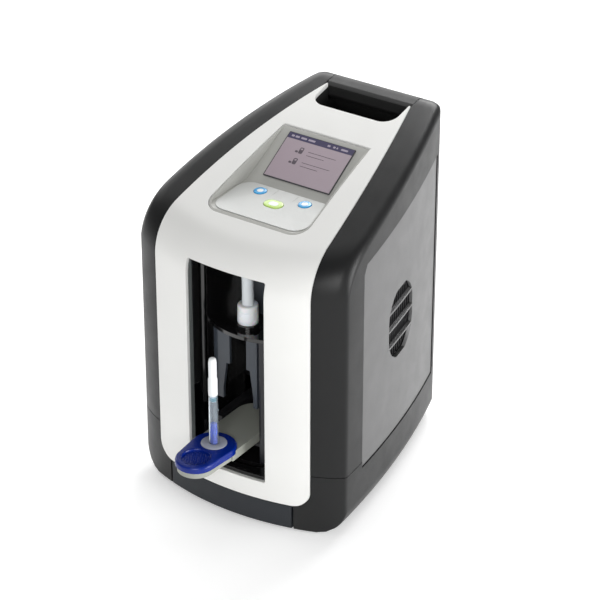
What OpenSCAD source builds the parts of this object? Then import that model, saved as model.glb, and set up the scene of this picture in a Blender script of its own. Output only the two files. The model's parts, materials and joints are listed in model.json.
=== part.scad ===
// Benchtop oral fluid test analyser, with a test cassette and a buffer cartridge in place.
// Every module is drawn with Y = 0 at the middle of the front face and Z = 0 on the table.
// At the end of the file all nodes move back by origin_y, so that the origin is the bottom
// centre of the whole part.

/* [Housing] */
// Width over the side covers
body_w = 184; // [176:1:196]
// Depth from the middle of the front face to the rear face
body_d = 212; // [204:1:222]
// Wall of the moulded shells
wall = 3; // [2.4:0.1:3.4]
// Gap left at each seam between shells
seam = 0.5; // [0.3:0.1:0.8]
// Height of the seam between the base tray and the side covers
base_h = 51; // [47:1:54]
// Radius of the curved front face, seen from above
front_radius = 210; // [200:5:240]
// Rounding between the front face and the top
front_round = 36; // [30:1:40]
// Rounding along the top outer edges
edge_round = 9; // [6:1:11]
// Rounding along the bottom outer edges
foot_round = 20; // [14:1:22]
// Width of the light front panel at the front face
panel_w = 137; // [132:1:142]

/* [Front opening] */
// Width of the opening
opening_w = 69; // [66:1:72]
// Height of its lower edge
opening_bottom = 37; // [34:1:39]
// Height of its upper edge
opening_top = 205; // [200:1:206]
// Outer radius of the curved shutter
shutter_r = 60; // [58:0.5:60.5]
// Angle the shutter turns from open to closed
shutter_turn = 76; // [74:1:78]

/* [Display and keys] */
// Width of the recess for the display and keys, at its front
recess_w = 86; // [82:1:88]
// Width of the recess at its rear
recess_rear_w = 74; // [72:1:80]
// Width of the display glass
glass_w = 59; // [56:1:62]
// Height of the display glass along its slope
glass_h = 42; // [38:1:43]
// Travel of a key
key_travel = 0.8; // [0.5:0.1:1]

/* [Cassette and cartridge] */
// Width of the cassette
cassette_w = 35; // [33:1:36]
// How far the grip stands out in front of the housing
grip_reach = 51; // [46:1:54]
// Diameter of the collector tube
collector_d = 7; // [6:0.1:7.4]
// Height of the collector's top
collector_top = 141; // [130:1:142]
// Diameter of the cartridge's cup
cartridge_d = 16; // [15:0.5:16]

/* [Drive] */
// Travel of the cartridge lift
lift_travel = 46; // [40:1:48]
// Diameter of the lead screw
screw_d = 8; // [6:0.5:8]
// Diameter of the fan rotor's blades
fan_d = 36; // [34:0.5:37]

/* [Hidden] */
$fn = 64;

// Plan outline of one half: a chain of arcs, each tangent to the next. Angles are measured
// from the front (-Y) towards the side (+X).
crease_r = 4;
side_radius = 780;
rear_corner_r = 18;
front_end_a = asin(panel_w / 2 / front_radius);
crease_start_a = 38.5;
side_start_a = 94.5;
corner_r = (body_w / 2 - panel_w / 2 - crease_r * (1 - sin(crease_start_a)))
    / (sin(crease_start_a) - sin(front_end_a));
function towards(a) = [sin(a), -cos(a)];
front_c = [0, front_radius];
corner_c = front_c + (front_radius - corner_r) * towards(front_end_a);
crease_c = corner_c + (corner_r - crease_r) * towards(crease_start_a);
side_c = crease_c + (crease_r - side_radius) * towards(side_start_a);
side_end_a = acos(-(body_d - rear_corner_r - side_c[1]) / (side_radius - rear_corner_r));
rear_c = side_c + (side_radius - rear_corner_r) * towards(side_end_a);

// Each row: centre, radius, first angle, last angle, steps.
outline_arcs = [
    [front_c, front_radius, 0, front_end_a, 5],
    [corner_c, corner_r, front_end_a, crease_start_a, 4],
    [crease_c, crease_r, crease_start_a, side_start_a, 4],
    [side_c, side_radius, side_start_a, side_end_a, 8],
    [rear_c, rear_corner_r, side_end_a, 180, 6],
];

// Height of the top surface along Y, before the edges are rounded.
top_y0 = 48;
top_z0 = 234;
top_slope = 0.345;
function top_line(y) = top_z0 + top_slope * (y - top_y0) - 0.00052 * pow(y - top_y0, 2);
// Drop of a fillet of radius r at distance d from the wall it turns into, where the surface
// rises away from the wall with slope m.
function drop(r, d, m = 0) = d >= r * (1 - m / sqrt(1 + m * m)) ? 0
    : m * (max(d, 0) - r) + r * sqrt(1 + m * m) - sqrt(r * r - pow(r - max(d, 0), 2));
function from_front(x, y) = y > corner_c[1] ? front_radius
    : atan2(x, front_radius - y) < front_end_a
    ? front_radius - norm([x, y] - front_c) : corner_r - norm([x, y] - corner_c);
function from_side(x, y) = side_radius - norm([x, y] - side_c);
function half_width(y) = side_c[0] + sqrt(pow(side_radius, 2) - pow(y - side_c[1], 2));

rear_round = 12;
floor_z = 1.2;
// Upper and lower surface of the housing, or of the same form g smaller all round.
function top_z(x, y, g) = top_line(y) - 1.05 * g
    - drop(front_round - g, from_front(x, y) - g, top_slope)
    - drop(edge_round - g, from_side(x, y) - g)
    - drop(rear_round - g, body_d - y - g);
function bottom_z(x, y, g) = floor_z + g + drop(foot_round - g, from_side(x, y) - g)
    + drop(1.5, from_front(x, y) - g) + drop(1.5, body_d - y - g);

// Distances from the wall at which the two surfaces are sampled.
inset_steps = [0, 0.5, 2, 5, 9.5, 16, 25];
half_stations = [for (row = outline_arcs) for (i = [1 : row[4]])
    [row[0], row[1], row[2] + (row[3] - row[2]) * i / row[4]]];
function station_point(s, d) = s[0] + (s[1] - d) * towards(s[2]);

module body_form(g) {
    samples = [for (s = half_stations) for (d = inset_steps)
        let (p = station_point(s, d + g)) each [
            [p[0], p[1], top_z(p[0], p[1], g)], [-p[0], p[1], top_z(p[0], p[1], g)],
            [p[0], p[1], bottom_z(p[0], p[1], g)], [-p[0], p[1], bottom_z(p[0], p[1], g)]]];
    middle = [for (d = inset_steps) each [
        [0, d + g, top_z(0, d + g, g)], [0, d + g, bottom_z(0, d + g, g)],
        [0, body_d - d - g, top_z(0, body_d - d - g, g)],
        [0, body_d - d - g, bottom_z(0, body_d - d - g, g)]]];
    cloud = concat(samples, middle);
    hull() polyhedron(points = cloud, faces = [for (i = [0 : 3 : len(cloud) - 3]) [i, i + 1, i + 2]]);
}

module shell(outer, inner) {
    difference() {
        body_form(outer);
        body_form(inner);
    }
}

// Small helpers
module box(lo, hi) {
    translate(lo) cube(hi - lo);
}

module rounded(w, h, r) {
    square([w - 2 * r, h], center = true);
    square([w, h - 2 * r], center = true);
    for (sx = [-1, 1], sy = [-1, 1]) translate([sx * (w / 2 - r), sy * (h / 2 - r)]) circle(r);
}

// Extrudes a shape drawn in X and Z from y0 back to y1.
module along_y(y0, y1) {
    translate([0, y1, 0]) rotate([90, 0, 0]) linear_extrude(y1 - y0) children();
}

// Extrudes a shape drawn in Y and Z from x0 to x1.
module along_x(x0, x1) {
    translate([x0, 0, 0]) rotate([90, 0, 90]) linear_extrude(x1 - x0) children();
}

module rod(p, d, h) {
    translate(p) cylinder(d = d, h = h);
}

module both_sides() {
    children();
    mirror([1, 0, 0]) children();
}

// Light front panel: its long edges are two arcs that close in towards the rear.
panel_edge_r = 885;
panel_edge_lean = 3.9;
panel_y0 = 12;
panel_y1 = 191;
panel_edge_c = [panel_w / 2, panel_y0] - panel_edge_r * towards(90 + panel_edge_lean);
bumper_h = 22;
bumper_w = 110;
bumper_gap = 1.6;

module panel_plan(grow) {
    intersection_for(s = [-1, 1]) translate([s * panel_edge_c[0], panel_edge_c[1]])
        circle(panel_edge_r + grow, $fn = 720);
}

module panel_column(grow, y1) {
    intersection() {
        translate([0, 0, -10]) linear_extrude(400) panel_plan(grow);
        along_y(-10, y1) translate([0, (bumper_h - grow + 300) / 2])
            rounded(panel_w + 2 * grow, 300 - bumper_h + grow, 14 + grow);
    }
}

module opening_hole(grow) {
    translate([0, (opening_bottom + opening_top) / 2])
        rounded(opening_w + 2 * grow, opening_top - opening_bottom + 2 * grow, 1.5 + grow);
}

// Recess for the display and keys
recess_y0 = 38;
recess_y1 = 134;
fold_y = 88;
fold_z = 232.5;
key_plane_z = top_line(recess_y0);
key_tilt = atan2(fold_z - key_plane_z, fold_y - recess_y0);
display_tilt = atan2(top_line(recess_y1) - fold_z, recess_y1 - fold_y);

// Plan of the recess: straight sides that close in to the rear, and rounded front corners.
module recess_plan(grow) {
    r = 13;
    y0 = recess_y0 - grow;
    y1 = recess_y1 + grow;
    front = recess_w / 2 + grow;
    rear = recess_rear_w / 2 + grow;
    for (s = [-1, 1]) translate([s * (front - r - 0.6), y0 + r]) circle(r);
    polygon([[-front + r, y0], [front - r, y0], [front - 0.6, y0 + r], [rear, y1], [-rear, y1],
        [-front + 0.6, y0 + r]]);
}

// Recess in front of the carrying handle
grab_w = 73;
grab_y0 = 165;
module grab_plan(grow) {
    translate([0, (grab_y0 + panel_y1 + 20) / 2])
        rounded(grab_w + 2 * grow, panel_y1 + 20 - grab_y0 + 2 * grow, 12 + grow);
}

module front_panel() color([0.9, 0.9, 0.88]) difference() {
    intersection() {
        shell(0, wall);
        panel_column(0, panel_y1);
    }
    along_y(-10, 30) opening_hole(0);
    translate([0, 0, 215]) linear_extrude(100) recess_plan(1.6);
    translate([0, 0, 215]) linear_extrude(100) grab_plan(0);
}

frame_depth = 10.5;
module opening_frame() color([0.4, 0.42, 0.41]) intersection() {
    along_y(0, frame_depth) difference() {
        opening_hole(2);
        opening_hole(0);
    }
    body_form(wall + 0.2);
}

// Dark lip on the lower side of the opening, just in front of the shutter's path and between
// the frame's rounded corners
module sill_lip() color([0.02, 0.02, 0.03]) translate([0, 0, opening_bottom]) linear_extrude(2.5)
    difference() {
        intersection() {
            translate(front_c) circle(front_radius - 3.6, $fn = 180);
            translate([-opening_w / 2 + 1.6, 0]) square([opening_w - 3.2, 22]);
        }
        translate([0, shutter_y]) circle(shutter_r + 0.5, $fn = 180);
    }

module front_bumper() color([0.2, 0.21, 0.23]) difference() {
    intersection() {
        shell(0, wall + 1);
        box([-bumper_w / 2, -5, 0], [bumper_w / 2, 17.4, bumper_h - seam]);
    }
    box([-80, -5, -1], [80, 30, floor_z + 0.6]);
}

// The side panels start behind the front band. Their top edge rises towards the rear.
side_y0 = 50;
side_y1 = 196;
side_seam_z = 46;
side_top = [[side_y0 + 4, 215], [side_y1 + 20, 239]];
module side_window(grow) {
    lo = side_seam_z - grow;
    y0 = side_y0 - grow;
    y1 = side_y1 + grow;
    polygon([[y0, lo], [y1, lo], [y1, side_top[1][1] + grow],
        [side_top[0][0], side_top[0][1] + grow], [y0, side_top[0][1] - 7 + grow]]);
}

rear_w = 76;
rear_z1 = 255;
module side_cover_right() color([0.2, 0.2, 0.2]) difference() {
    intersection() {
        shell(0, wall);
        box([0, -5, base_h], [120, body_d + 5, 300]);
    }
    panel_column(seam, panel_y1 + 1);
    box([-50, panel_y1 - 5, 230], [grab_w / 2 + 2.2, body_d + 5, 300]);
    box([-50, body_d - 12, 0], [rear_w / 2 + seam, body_d + 5, rear_z1 + seam]);
    along_x(40, 120) side_window(seam);
}

module side_cover_left() color([0.28, 0.29, 0.28]) mirror([1, 0, 0]) side_cover_right();

vent_c = [118, 137];
vent_w = 47;
vent_h = 60;
module oval(w, h) {
    r = w / 2;
    for (s = [-1, 1]) translate([0, s * (h / 2 - r)]) circle(r);
    square([w, h - w], center = true);
}

// Four windows with cross bars between them
module vent_windows() {
    intersection() {
        oval(vent_w, vent_h);
        for (row = [-1.5 : 1.5]) translate([0, row * 14.6]) square([vent_w + 2, 13.1], center = true);
    }
}

module side_panel(with_vent) {
    difference() {
        intersection() {
            shell(0.6, wall + 0.4);
            along_x(40, 120) side_window(-seam / 2);
        }
        if (with_vent) along_x(50, 120) translate(vent_c) vent_windows();
    }
}

module side_panel_right() color([0.5, 0.5, 0.5]) side_panel(true);
module side_panel_left() color([0.5, 0.5, 0.5]) mirror([1, 0, 0]) side_panel(false);

// Dark grille of upright bars, just behind the windows and square to the wall at their middle
vent_lean = acos((vent_c[0] - side_c[1]) / side_radius) - 90;
module vent_grille() color([0.15, 0.15, 0.16])
    translate([half_width(vent_c[0]), vent_c[0], vent_c[1]]) rotate([0, 0, -vent_lean])
    translate([-6.4, 0, 0]) rotate([90, 0, 90]) linear_extrude(2) difference() {
        oval(vent_w + 3, vent_h + 3);
        intersection() {
            oval(vent_w - 1, vent_h - 1);
            for (col = [-5 : 5]) translate([col * 4.2, 0]) square([3, vent_h], center = true);
        }
    }

module base_tray() color([0.22, 0.22, 0.22]) {
    difference() {
        intersection() {
            shell(0, wall);
            box([-120, -5, 0], [120, body_d + 5, base_h - seam]);
        }
        panel_column(seam, 30);
        box([-bumper_w / 2 - bumper_gap, -5, -1], [bumper_w / 2 + bumper_gap, 19, bumper_h]);
        both_sides() box([40, side_y0, side_seam_z - 0.6], [120, side_y1, base_h + 5]);
        for (p = foot_points) rod([p[0], p[1], -1], foot_d + 0.4, foot_h);
    }
    // Sill wall behind the bumper, and posts for the chassis
    box([-60, 17.5, floor_z + 0.5], [60, 20.5, 20.4]);
    for (p = post_points) difference() {
        rod([p[0], p[1], floor_z + wall - 1], 9, chassis_z - floor_z - wall + 1);
        rod([p[0], p[1], 10], 2.6, 20);
    }
}

foot_d = 15;
foot_h = 3.4;
foot_points = [for (sx = [-1, 1], y = [46, 180]) [sx * (y < 100 ? 60 : 34), y]];
module rubber_feet() color([0.1, 0.1, 0.1]) for (p = foot_points) rod([p[0], p[1], 0], foot_d, foot_h - 1);

module case_screws() color([0.6, 0.6, 0.62]) {
    for (sx = [-1, 1], z = [66, 240]) translate([sx * (rear_w / 2 - 7), body_d - 1.9, z])
        rotate([-90, 0, 0]) difference() {
            cylinder(d = 6, h = 1.7);
            translate([0, 0, 0.7]) cylinder(d = 2.6, h = 2, $fn = 6);
        }
}

// Rear panel with its inlet, ports and slots
rear_t = 2.5;
rear_face = body_d - 0.8;
inlet_c = [-24, 84];
port_c = [6, 84];
module rear_panel() color([0.22, 0.22, 0.22]) difference() {
    box([-rear_w / 2, rear_face - rear_t, base_h], [rear_w / 2, rear_face, rear_z1]);
    for (row = [0 : 6]) along_y(body_d - 10, body_d + 5)
        translate([0, 150 + row * 8]) rounded(52, 3, 1.45);
    along_y(body_d - 10, body_d + 5) translate(inlet_c) circle(d = 12.4);
    along_y(body_d - 10, body_d + 5) for (s = [0, 1]) translate(port_c + [s * 20, 0])
        square([14.4, 7.6], center = true);
    for (sx = [-1, 1], z = [66, 240]) translate([sx * (rear_w / 2 - 7), body_d - 1.9, z])
        rotate([-90, 0, 0]) cylinder(d = 6.4, h = 5);
}

module dc_inlet() color([0.08, 0.08, 0.08]) difference() {
    along_y(rear_face - 14, rear_face + 0.6) translate(inlet_c) circle(d = 12);
    along_y(rear_face - 10, rear_face + 2) translate(inlet_c) difference() {
        circle(d = 6.4);
        circle(d = 2.1);
    }
}

module data_ports() color([0.7, 0.7, 0.72]) for (s = [0, 1]) {
    c = port_c + [s * 20, 0];
    difference() {
        along_y(rear_face - 14, rear_face + 0.4) translate(c) square([14, 7.2], center = true);
        along_y(rear_face - 12, rear_face + 2) translate(c) square([12.6, 5.6], center = true);
    }
    along_y(rear_face - 13, rear_face - 1) translate(c + [0, 1]) square([11.4, 1.8], center = true);
}

// Handle
bar_y0 = 192;
bar_z0 = 258;
well_floor = 236;
well_wall = 2;
module handle_well() color([0.1, 0.1, 0.1]) difference() {
    intersection() {
        translate([0, 0, well_floor - well_wall]) linear_extrude(60) intersection() {
            grab_plan(well_wall);
            square([200, 2 * (body_d - wall - 1.5)], center = true);
        }
        body_form(wall + 0.3);
    }
    translate([0, 0, well_floor]) linear_extrude(60) intersection() {
        grab_plan(0);
        square([200, 2 * (body_d - wall - 3.5)], center = true);
    }
    box([-60, bar_y0 - 0.6, bar_z0 - 0.5], [60, body_d + 5, 300]);
}

module bar_profile() {
    top = [for (y = [bar_y0 : 3 : body_d - 1]) [y, top_z(0, y, 0)]];
    difference() {
        polygon(concat([[bar_y0, bar_z0 + 5], [bar_y0 + 5, bar_z0], [body_d - 5, bar_z0],
            [body_d - 0.2, bar_z0 + 5]], [for (i = [len(top) - 1 : -1 : 0]) top[i]]));
        polygon([[bar_y0 - 1, 300], [bar_y0 - 1, top_line(bar_y0) - 2], [bar_y0, top_line(bar_y0) - 2],
            [bar_y0 + 0.7, top_line(bar_y0) - 0.6], [bar_y0 + 2, top_line(bar_y0 + 2)], [bar_y0 + 2, 300]]);
    }
}

// The handle is a grey cap, 2.4 mm thick, on a black core.
module under_cap() {
    polygon([[bar_y0 - 5, 200], [body_d + 5, 200], [body_d + 5, top_z(0, body_d - 0.5, 0) - 2.4],
        [body_d - 4, top_z(0, body_d - 4, 0) - 2.4], [body_d - 10, top_z(0, body_d - 10, 0) - 2.4],
        [bar_y0 - 5, top_line(bar_y0 - 5) - 2.4]]);
}

module handle_bar() color([0.4, 0.4, 0.4]) along_x(-grab_w / 2 - 1.8, grab_w / 2 + 1.8) difference() {
    bar_profile();
    under_cap();
}

module handle_core() color([0.1, 0.1, 0.1]) along_x(-grab_w / 2 - 1.8, grab_w / 2 + 1.8) intersection() {
    bar_profile();
    under_cap();
}

// Display and keys. on_display and on_keys put a child on a sloping face, its origin on the fold.
tub_t = 2.2;
module on_display() {
    translate([0, fold_y, fold_z]) rotate([display_tilt, 0, 0]) children();
}

module on_keys() {
    translate([0, fold_y, fold_z]) rotate([key_tilt, 0, 0]) children();
}

module display_tub() color([0.84, 0.85, 0.83]) {
    rim = [for (i = [0 : 6]) let (y = recess_y0 + (recess_y1 - recess_y0) * i / 6) [y, top_line(y) - 0.3]];
    difference() {
        intersection() {
            along_x(-60, 60) polygon(concat(rim,
                [[recess_y1, top_line(recess_y1) - tub_t * 1.6], [fold_y + 0.8, fold_z - tub_t],
                [recess_y0, key_plane_z - tub_t]]));
            translate([0, 0, 200]) linear_extrude(100) recess_plan(1.3);
        }
        intersection() {
            along_x(-60, 60) polygon([[recess_y0 - 5, key_plane_z - 0.2],
                [recess_y0 - 5, 300], [recess_y1, 300], [recess_y1, top_line(recess_y1)],
                [fold_y, fold_z], [recess_y0, key_plane_z]]);
            translate([0, 0, 200]) linear_extrude(100) recess_plan(0);
        }
        on_display() translate([-glass_w / 2 + 1.5, display_lift + 1.5, -10])
            cube([glass_w - 3, glass_h - 3, 20]);
        for (k = keys) on_keys() translate([k[0], k[1], -10]) linear_extrude(20)
            oval_flat(k[2] + 0.8, k[3] + 0.8);
    }
}

display_lift = 7.2;
module lcd_glass() color([0.75, 0.8, 0.85, 0.4]) on_display()
    translate([-glass_w / 2, display_lift, 0.1]) cube([glass_w, glass_h, 0.9]);
module lcd_module() color([0.62, 0.57, 0.6]) on_display() difference() {
    translate([-glass_w / 2 - 2, display_lift - 1, -tub_t - 4.2]) cube([glass_w + 4, glass_h + 1, 3.2]);
    translate([-glass_w / 2 + 2, display_lift + 2, -tub_t - 1.6]) cube([glass_w - 4, glass_h - 4, 2]);
}
module display_board() color([0.1, 0.4, 0.2]) on_display() {
    translate([-34, 3, -tub_t - 6]) cube([68, 46, 1.6]);
    for (x = [-24, 2]) translate([x, 14, -tub_t - 8.4]) cube([18, 14, 2.5]);
}

// Keys: x, distance from the fold, width, length
keys = [[-20.3, -10.5, 10, 10], [19.3, -10.5, 10, 10], [-0.5, -22, 15.5, 11]];
module oval_flat(w, h) {
    r = h / 2;
    if (w > h) {
        for (s = [-1, 1]) translate([s * (w / 2 - r), 0]) circle(r);
        square([w - h, h], center = true);
    } else circle(d = w);
}

module key(k) {
    on_keys() translate([k[0], k[1], 0]) {
        translate([0, 0, -1 - key_travel]) linear_extrude(2.2 + key_travel) oval_flat(k[2], k[3]);
        translate([0, 0, -1.8 - key_travel]) cylinder(d = 3, h = 1);
    }
}

module button_left() color([0.1, 0.6, 0.9]) key(keys[0]);
module button_right() color([0.1, 0.6, 0.9]) key(keys[1]);
module button_ok() color([0.7, 0.85, 0.4]) key(keys[2]);

module keypad_membrane() color([0.85, 0.86, 0.84]) on_keys() difference() {
    translate([0, -24.5, 0.05]) linear_extrude(0.6) rounded(recess_w - 7, 46, 11);
    for (k = keys) translate([k[0], k[1], -5]) linear_extrude(10) oval_flat(k[2] + 0.5, k[3] + 0.5);
}

// Board under the keys; each switch leaves room for the key's stem at full travel.
switch_z = -3 - 2 * key_travel;
module keypad_board() color([0.1, 0.4, 0.2]) on_keys() {
    translate([-34, -38, switch_z - 1.6]) cube([68, 34, 1.6]);
    for (k = keys) translate([k[0], k[1], switch_z]) cylinder(d = 5, h = 1);
}

// Shutter: a curved door that turns about a vertical axis inside the opening
shutter_y = 12 + shutter_r;
shutter_t = 2.5;
shutter_half_a = 38;
arm_top_z = 210.6;
arm_low_z = 28;
pin_d = 5;
arm_t = 2.5;
slot_z = [55.5, 71.5];

module wedge(r, a0, a1) {
    polygon(concat([[0, 0]], [for (i = [0 : 4]) r * towards(a0 + (a1 - a0) * i / 4)]));
}

module shutter_arm() {
    difference() {
        union() {
            intersection() {
                difference() {
                    circle(shutter_r, $fn = 180);
                    circle(shutter_r - 9, $fn = 180);
                }
                wedge(2 * shutter_r, -shutter_half_a, shutter_half_a);
            }
            intersection() {
                circle(shutter_r - 5);
                polygon([[-9, 0], [9, 0], [14, -shutter_r], [-14, -shutter_r]]);
            }
            circle(9);
        }
        circle(d = pin_d + 0.1);
    }
}

module shutter() color([0.06, 0.06, 0.07]) translate([0, shutter_y, 0]) rotate([0, 0, -shutter_turn]) {
    difference() {
        translate([0, 0, arm_low_z]) linear_extrude(arm_top_z + arm_t - arm_low_z) intersection() {
            difference() {
                circle(shutter_r, $fn = 180);
                circle(shutter_r - shutter_t, $fn = 180);
            }
            wedge(2 * shutter_r, -shutter_half_a, shutter_half_a);
        }
        translate([0, 0, slot_z[0]]) linear_extrude(slot_z[1] - slot_z[0])
            wedge(2 * shutter_r, -25, shutter_half_a + 5);
    }
    for (z = [arm_low_z, arm_top_z]) translate([0, 0, z]) linear_extrude(arm_t) shutter_arm();
}

module shutter_pins() color([0.7, 0.7, 0.7]) {
    for (ends = [[chassis_z, arm_low_z], [chassis_top_z, arm_top_z]])
        rod([0, shutter_y, ends[0] + chassis_t], pin_d, ends[1] + arm_t + 1.5 - ends[0] - chassis_t);
}

// Well behind the opening. Its floor and shelf end on an arc that clears the shutter.
well_w = 71;
well_back = 62;
shelf_z = 144;
plate_t = 3;
arc_clear = 1;
well_floor_z = opening_bottom + plate_t;
module arc_front(y1) {
    intersection() {
        translate([0, shutter_y]) circle(shutter_r - shutter_t - arc_clear, $fn = 180);
        translate([-well_w / 2, 0]) square([well_w, y1]);
    }
}

module well_liner() color([0.04, 0.04, 0.05]) difference() {
    translate([0, 0, opening_bottom]) linear_extrude(chassis_top_z - opening_bottom)
        arc_front(well_back + 2);
    translate([0, 0, well_floor_z]) linear_extrude(opening_top - well_floor_z)
        translate([-well_w / 2 + 2, 0]) square([well_w - 4, well_back]);
    // Tunnel for the cassette, and a slot for the arm of the lift
    box([-26, 50, 50], [26, 70, 82]);
    box([-6.5, 50, block_z - lift_travel - 6], [6.5, 70, block_z + block_h + 6]);
    box([-40, 0, well_floor_z], [40, 26, opening_top]);
}

lift_w = 22;
module well_shelf() color([0.03, 0.03, 0.04])
    translate([0, 0, shelf_z]) linear_extrude(plate_t) difference() {
        intersection() {
            arc_front(well_back);
            translate([-well_w / 2 + 2, 0]) square([well_w - 4, 100]);
        }
        translate([-lift_w / 2 - 0.8, 22]) square([lift_w + 1.6, 60]);
    }

// Two plates that hang from the shelf, with a gap between them for the collector
module well_upright(lo, hi) {
    intersection() {
        box(lo, hi);
        linear_extrude(shelf_z) arc_front(well_back);
    }
}

module collector_guide() color([0.27, 0.3, 0.34]) difference() {
    union() {
        well_upright([-23, 18.5, 87], [-7.5, 21, shelf_z]);
        well_upright([7.5, 18.5, 87], [17, 21, shelf_z]);
    }
    both_sides() along_y(10, 30) polygon([[0, 80], [13.5, 80], [13.5, 96], [10.5, 118], [0, 118]]);
}

// The post stands beside the cassette, in front of its track.
post_x = cassette_w / 2 + 1;
module guide_post() color([0.12, 0.12, 0.14])
    well_upright([post_x, 19, well_floor_z], [post_x + 4, track_y[0] - 0.1, shelf_z]);

// Cassette, with the collector standing in it
collector_y = -13;
cassette_z = 58;
cassette_h = 7.5;
cassette_back = 57;
grip_z = 4.5;
grip_h = 10;
// The body is 1 mm narrower than the grip on top of it, and its nose lies under the grip.
module cassette_body() color([0.55, 0.56, 0.52]) difference() {
    w = cassette_w - 1;
    nose_r = 14;
    translate([0, 0, cassette_z]) linear_extrude(cassette_h) {
        translate([0, dimple_y]) circle(nose_r);
        polygon([[-nose_r, dimple_y], [nose_r, dimple_y], [w / 2 - 1.5, collector_y + 1],
            [1.5 - w / 2, collector_y + 1]]);
        translate([-w / 2, collector_y]) square([w, cassette_back - collector_y - w / 2]);
        translate([0, cassette_back - w / 2]) circle(d = w);
    }
    translate([0, 0, cassette_z + grip_z]) linear_extrude(20) grip_outline(0.1);
}

module grip_outline(grow) {
    tip_r = 15.5;
    tail_r = cassette_w / 2;
    tip_y = -grip_reach + tip_r;
    // Common tangent of the two end circles
    a = acos((tail_r - tip_r) / (collector_y - 1 - tip_y));
    for (c = [[tip_y, tip_r], [collector_y - 1, tail_r]]) translate([0, c[0]]) circle(c[1] + grow);
    polygon([for (e = [[tip_y, tip_r, 1], [collector_y - 1, tail_r, 1], [collector_y - 1, tail_r, -1],
        [tip_y, tip_r, -1]]) [e[2] * (e[1] + grow) * sin(a), e[0] + (e[1] + grow) * cos(a)]]);
}

dimple_y = -grip_reach + 15.5;
module cassette_grip() color([0.05, 0.15, 0.6]) difference() {
    translate([0, 0, cassette_z + grip_z]) linear_extrude(grip_h - grip_z) grip_outline(0);
    rod([0, dimple_y, cassette_z + grip_h - 2], 23, 5);
    rod([0, collector_y, cassette_z + grip_h - 6], collector_d + 0.2, 10);
}

washer_t = 1;
module collector_washer() color([0.6, 0.6, 0.62]) difference() {
    rod([0, collector_y, cassette_z + grip_h + 0.02], 19.5, washer_t);
    rod([0, collector_y, cassette_z], collector_d + 0.2, 20);
}

tube_z0 = cassette_z + grip_h - 5.5;
tip_len = 31;
module collector_tube() color([0.75, 0.82, 0.9, 0.6]) difference() {
    rod([0, collector_y, tube_z0], collector_d, collector_top - tip_len - tube_z0);
    rod([0, collector_y, tube_z0 + 1], collector_d - 1.6, 200);
}
module collector_core() color([0.1, 0.3, 0.8])
    rod([0, collector_y, tube_z0 + 1.1], collector_d - 2, 22);
module collector_tip() color([0.95, 0.95, 0.95]) {
    rod([0, collector_y, collector_top - tip_len - 5], collector_d - 1.8, 5.1);
    rod([0, collector_y, collector_top - tip_len], collector_d, 14);
    rod([0, collector_y, collector_top - tip_len + 13.9], collector_d - 0.8, tip_len - 17);
    rod([0, collector_y, collector_top - 3.2], collector_d - 1.6, 3.2);
}

// Track, heater and reader
track_y = [22, 104];
module cassette_track() color([0.1, 0.1, 0.11]) difference() {
    box([-24.5, track_y[0], 52], [24.5, track_y[1], 67]);
    box([-cassette_w / 2 - 0.4, 0, 54.5], [cassette_w / 2 + 0.4, track_y[1] - 1.6, 80]);
}
module heater_plate() color([0.75, 0.76, 0.78]) box([-17, 26, 54.5], [17, 98, 57.6]);
module reader_optics() color([0.12, 0.12, 0.14]) {
    difference() {
        box([-20, 90, 70], [20, chassis_back, 110]);
        for (s = [-1, 1]) rod([s * 8, 97, 60], 5, 30);
    }
    for (s = [-1, 1]) rod([s * 8, 97, 110], 10, 6);
}

// Cartridge and its lift
cartridge_y = 32;
cartridge_z = 150;
cup_h = 15.5;
neck_d = 9;
module cartridge_cup() color([0.93, 0.94, 0.96]) difference() {
    r = cartridge_d / 2;
    translate([0, cartridge_y, cartridge_z]) rotate_extrude()
        polygon([[0, 0], [r - 1, 0], [r, 1.2], [r - 0.3, cup_h - 1], [r - 1.3, cup_h], [0, cup_h]]);
    rod([0, cartridge_y, cartridge_z - 1], collector_d + 1.6, cup_h + 5);
}
module cartridge_neck() color([0.85, 0.88, 0.9, 0.8]) difference() {
    neck_z = cartridge_z + cup_h;
    rod([0, cartridge_y, neck_z + 0.02], neck_d, 27);
    rod([0, cartridge_y, cartridge_z], neck_d - 1.2, cup_h + 19.5);
    rod([0, cartridge_y, cartridge_z], neck_d - 2.4, cup_h + 23.5);
    translate([0.5, cartridge_y - 10, neck_z + 27.1]) rotate([0, 42, 0]) cube([12, 20, 12]);
}

lift_rod_x = 17;
screw_y = 79;
block_z = 148;
block_h = 12;
// The plate lies flush in the shelf's slot, and its boss carries the cup.
module lift_plate() color([0.04, 0.04, 0.05]) difference() {
    union() {
        box([-lift_w / 2, 22.4, shelf_z], [lift_w / 2, 51, shelf_z + plate_t]);
        rod([0, cartridge_y, shelf_z], 18.8, cartridge_z + 1.2 - shelf_z);
    }
    rod([0, cartridge_y, shelf_z - 2], collector_d + 1.6, 14);
    rod([0, cartridge_y, cartridge_z - 0.02], cartridge_d + 0.6, 10);
    slot_w = cartridge_d / 2 + 0.3;
    box([-slot_w, 10, cartridge_z - 0.02], [slot_w, cartridge_y, cartridge_z + 10]);
}

module lift_back() color([0.3, 0.32, 0.36]) difference() {
    union() {
        box([-lift_w / 2, 51, shelf_z], [lift_w / 2, 54, cartridge_z + 42]);
        box([-5, 53, block_z], [5, 70, block_z + block_h]);
        box([-24, 69, block_z], [24, 87, block_z + block_h]);
    }
    for (s = [-1, 1]) rod([s * lift_rod_x, screw_y, 100], 5.1, 100);
    rod([0, screw_y, 100], screw_d + 4, 100);
}
module lift_nut() color([0.75, 0.6, 0.3]) difference() {
    union() {
        rod([0, screw_y, block_z], screw_d + 3.96, block_h);
        rod([0, screw_y, block_z - 2.02], screw_d + 9, 2);
    }
    rod([0, screw_y, 100], screw_d + 0.1, 100);
}

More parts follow.
